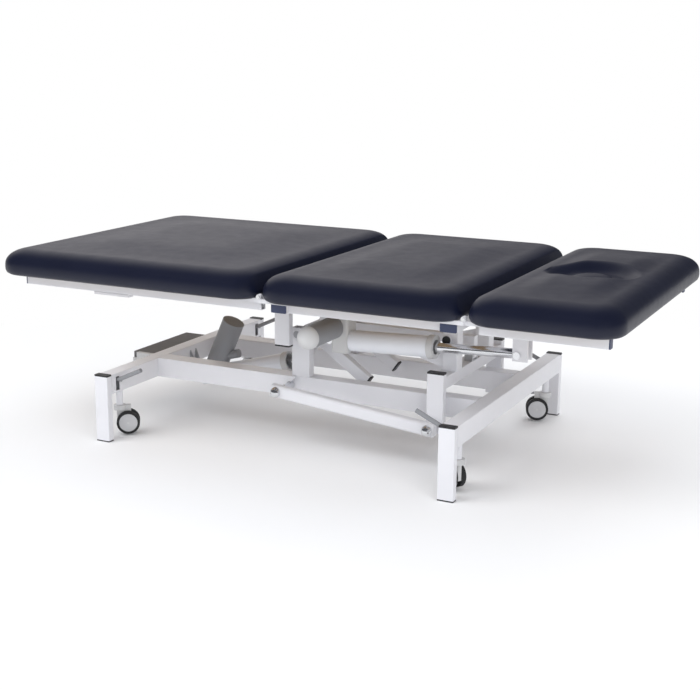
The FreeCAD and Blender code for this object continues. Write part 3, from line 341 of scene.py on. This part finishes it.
def top_loops(edge, mid, half, z1, dish_x):
    """The pad's top, from its edge inwards.

    It rises by a squared sine of how far a point lies inside the edge, one for each way across,
    multiplied. With a dish it also sinks by a raised cosine between the dish's rim and floor.
    """
    centre = mid[:2] if dish_x is None else np.array([dish_x, 0.0])
    stop = PAD_CLOSE if dish_x is None else HOLE_RADIUS
    loops = []
    for share in np.linspace(0, 1, 60)[1:]:
        away = edge[:, :2] - centre
        dist = np.linalg.norm(away, axis=1, keepdims=True)
        ring = centre + away / dist * (dist * (1 - share) + stop * share)
        near = np.minimum(1, (1 - np.abs(ring - mid[:2]) / (half[:2] - CROWN_START)) / CROWN_SHARE)
        z = z1 - EDGE_DROP + PAD_CROWN * np.prod(np.sin(near.clip(0) * np.pi / 2) ** 2, axis=1)
        if dish_x is not None:
            r = np.linalg.norm(ring - centre, axis=1)
            k = np.clip((DISH_RIM - r) / (DISH_RIM - DISH_FLOOR), 0, 1)
            z = z - DISH_DEPTH * (1 - np.cos(k * np.pi)) / 2
        loops.append(np.column_stack([ring, z]))
    return loops


def pad_mesh(node, meets, foot=0.0, dish_x=None):
    """A crowned pad round a node's box, its cover folded round the board below.

    An end that meets the next pad, left or right, stays behind a plane that leans back from the hinge's
    height, so the two clear each other when one is raised. A pad with a dish has a hole right through.
    """
    low, high = np.array(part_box(node)) + np.array([(-foot, -SIDE_OVERHANG, 0), (0, SIDE_OVERHANG, 0)])
    mid, half = (low + high) / 2, (high - low) / 2
    z0, z1 = low[2], high[2]
    loops = side_loops(mid, half, z0, z1)
    loops += top_loops(loops[-1], mid, half, z1, dish_x)
    lean = math.tan(math.radians(END_LEAN))
    for loop in loops:
        room = np.maximum(loop[:, 2] - (z0 - HINGE_DROP), 0) * lean
        if meets[0]:
            loop[:, 0] = np.maximum(loop[:, 0], low[0] + room)
        if meets[1]:
            loop[:, 0] = np.minimum(loop[:, 0], high[0] - room)
    n = len(loops[0])
    if dish_x is not None:
        loops.append(np.column_stack([loops[-1][:, :2], np.full(n, z0)]))
        return np.concatenate(loops), strips(n, len(loops), True)
    return np.concatenate(loops), strips(n, len(loops), False) + closed_ends(n, len(loops))


def plug_mesh():
    """The lift-out plug: a profile turned round the middle of its node's box."""
    low, high = np.array(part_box("face_plug"))
    mid, r, tall = (low + high) / 2, (high[0] - low[0]) / 2, high[2] - low[2]
    a = np.linspace(0, 2 * np.pi, PLUG_STEPS, endpoint=False)
    rings = [np.column_stack([mid[0] + r * k * np.cos(a), mid[1] + r * k * np.sin(a),
                              np.full(PLUG_STEPS, low[2] + tall * h)]) for k, h in PLUG_PROFILE]
    faces = strips(PLUG_STEPS, len(rings), False) + closed_ends(PLUG_STEPS, len(rings))
    return np.concatenate(rings), faces


def cushions():
    """Three upholstered pads and the plug, standing for the plain solids."""
    plug_low, plug_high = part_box("face_plug")
    dish_x = (plug_low[0] + plug_high[0]) / 2
    for node, body, meets, foot, dish in (("leg_cushion", "leg_section", (False, True), LEG_OVERHANG, None),
                                          ("middle_cushion", "carriage", (True, True), 0.0, None),
                                          ("head_cushion", "head_section", (True, False), 0.0, dish_x)):
        verts, faces = pad_mesh(node, meets, foot, dish)
        name = "pad_" + node.split("_")[0]
        pad = mesh_object(name, verts, faces, body, MATS["navy_vinyl"])
        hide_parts(node)
    verts, faces = plug_mesh()
    plug = mesh_object("pad_plug", verts, faces, "face_plug", MATS["navy_vinyl"])
    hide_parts("face_plug")


def disc_mesh(place, way):
    """A wheel disc: its profile turned round the axle, on one side or the other, then set in place."""
    a = np.linspace(0, 2 * np.pi, DISC_STEPS, endpoint=False)
    rings = [np.column_stack([r * np.cos(a), r * np.sin(a), np.full(DISC_STEPS, way * z)])
             for r, z in DISC_PROFILE]
    verts = np.concatenate(rings + [np.array([[0, 0, way * DISC_MIDDLE]])])
    verts = verts @ place[:3, :3].T + place[:3, 3]
    i = np.arange(DISC_STEPS)
    faces = strips(DISC_STEPS, len(rings), False)
    faces += np.column_stack([i, (i + 1) % DISC_STEPS, np.full(DISC_STEPS, len(verts) - 1)]).tolist()
    faces.append(((len(rings) - 1) * DISC_STEPS + i).tolist())
    return verts, faces


def wheel_discs():
    """Light discs let into the outer faces of the castor wheels."""
    for tag in CORNERS:
        joint = next(j for j in frame["joints"] if j["name"] == "castor_roll_" + tag)
        at, axis = Vector(joint["pos_m"]), Vector(joint["axis"]).normalized()
        spin = axis.to_track_quat("Z", "Y").to_matrix().to_4x4()
        place = np.array(Matrix.Translation(at) @ spin)
        for side, way in (("a", 1), ("b", -1)):
            verts, faces = disc_mesh(place, way)
            mesh_object("disc_%s_%s" % (tag, side), verts, faces, "wheels_" + tag, HUB)


# ---------------------------------------------------------------- light and camera
def surround():
    """White to the camera, plain soft light on the couch, and a graded light for what is mirrored.

    Mirrored light is white from behind the couch towards the foot end, blue from below and dim elsewhere.
    """
    world = bpy.data.worlds.new("surround")
    bpy.context.scene.world = world
    world.use_nodes = True
    tree = world.node_tree
    tree.nodes.clear()
    rays = tree.nodes.new("ShaderNodeLightPath")
    way = tree.nodes.new("ShaderNodeTexCoord")
    split = tree.nodes.new("ShaderNodeSeparateXYZ")
    tree.links.new(way.outputs["Generated"], split.inputs[0])
    x, y, z = (Sock(tree, split.outputs[axis]) for axis in "XYZ")
    back = (y * 1.5).op("SUBTRACT", 0.05, clamp=True)
    behind = back * (x * -1.9).op("ADD", -0.05, clamp=True)
    below = (z * -2.5).op("ADD", 0.1, clamp=True)

    def field(colour, strength):
        sky = tree.nodes.new("ShaderNodeBackground")
        sky.inputs[0].default_value = (*colour, 1)
        sky.inputs[1].default_value = strength
        return sky.outputs[0]

    def mixed(share, first, second):
        mix = tree.nodes.new("ShaderNodeMixShader")
        for i, out in enumerate((share, first, second)):
            tree.links.new(out, mix.inputs[i])
        return mix.outputs[0]

    front = mixed(below.out, field((0.9, 0.92, 1.0), 0.12), field((0.55, 0.65, 1.0), 0.45))
    mirrored = mixed(behind.out, front, field((1.0, 0.97, 0.97), 1.0))
    lit = mixed(rays.outputs["Is Glossy Ray"], field((0.93, 0.95, 1.0), 0.75), mirrored)
    seen = mixed(rays.outputs["Is Camera Ray"], lit, field((1, 1, 1), 1.0))
    tree.links.new(seen, tree.nodes.new("ShaderNodeOutputWorld").inputs[0])


def floor_white():
    """Pale floor that fades to plain white away from the couch, so only its shadow shows."""
    s = Shade("floor_white")
    s.to("Base Color", s.blend(s.noise(3.0), (0.94, 0.94, 0.94), (0.96, 0.96, 0.96)))
    s.bsdf.inputs["Roughness"].default_value = 0.85
    length = s.node("ShaderNodeVectorMath", {0: s.spot}, operation="LENGTH")
    far = (Sock(s.tree, length.outputs["Value"]) - FLOOR_CLEAR).op("DIVIDE", FLOOR_FADE, clamp=True)
    glow = s.node("ShaderNodeEmission", {"Color": (1, 1, 1, 1), "Strength": 1.0})
    mix = s.node("ShaderNodeMixShader", {0: far, 1: s.bsdf.outputs[0], 2: glow.outputs[0]})
    out = next(n for n in s.tree.nodes if n.type == "OUTPUT_MATERIAL")
    s.tree.links.new(mix.outputs[0], out.inputs[0])
    return s.mat


def pale_floor():
    """A level square under the couch."""
    mesh = bpy.data.meshes.new("floor")
    square = [(x * FLOOR_REACH, y * FLOOR_REACH, 0) for x, y in ((-1, -1), (1, -1), (1, 1), (-1, 1))]
    mesh.from_pydata(square, [], [(0, 1, 2, 3)])
    floor = bpy.data.objects.new("floor", mesh)
    bpy.context.scene.collection.objects.link(floor)
    floor.data.materials.append(floor_white())


def lamps():
    """Broad soft lamps that light the couch and are not mirrored in it."""
    for name, spot, aim, power, size in LAMPS:
        data = bpy.data.lights.new(name, "AREA")
        data.energy = power
        data.size = size
        lamp = bpy.data.objects.new(name, data)
        lamp.location = spot
        lamp.rotation_euler = (Vector(aim) - Vector(spot)).to_track_quat("-Z", "Y").to_euler()
        lamp.visible_glossy = False
        bpy.context.scene.collection.objects.link(lamp)


def camera():
    """The view: from the near side, beside the head end and a little above."""
    data = bpy.data.cameras.new("camera")
    data.sensor_width = CAMERA_SENSOR
    data.lens = CAMERA_LENS
    cam = bpy.data.objects.new("camera", data)
    turn = Matrix((CAMERA_RIGHT, -CAMERA_DOWN, -CAMERA_AHEAD)).transposed().to_4x4()
    cam.matrix_world = Matrix.Translation(CAMERA_PLACE) @ turn
    bpy.context.scene.collection.objects.link(cam)
    bpy.context.scene.camera = cam


dress_solids()
cushions()
wheel_discs()
bpy.context.scene.view_settings.view_transform = "Standard"
surround()
pale_floor()
lamps()
camera()
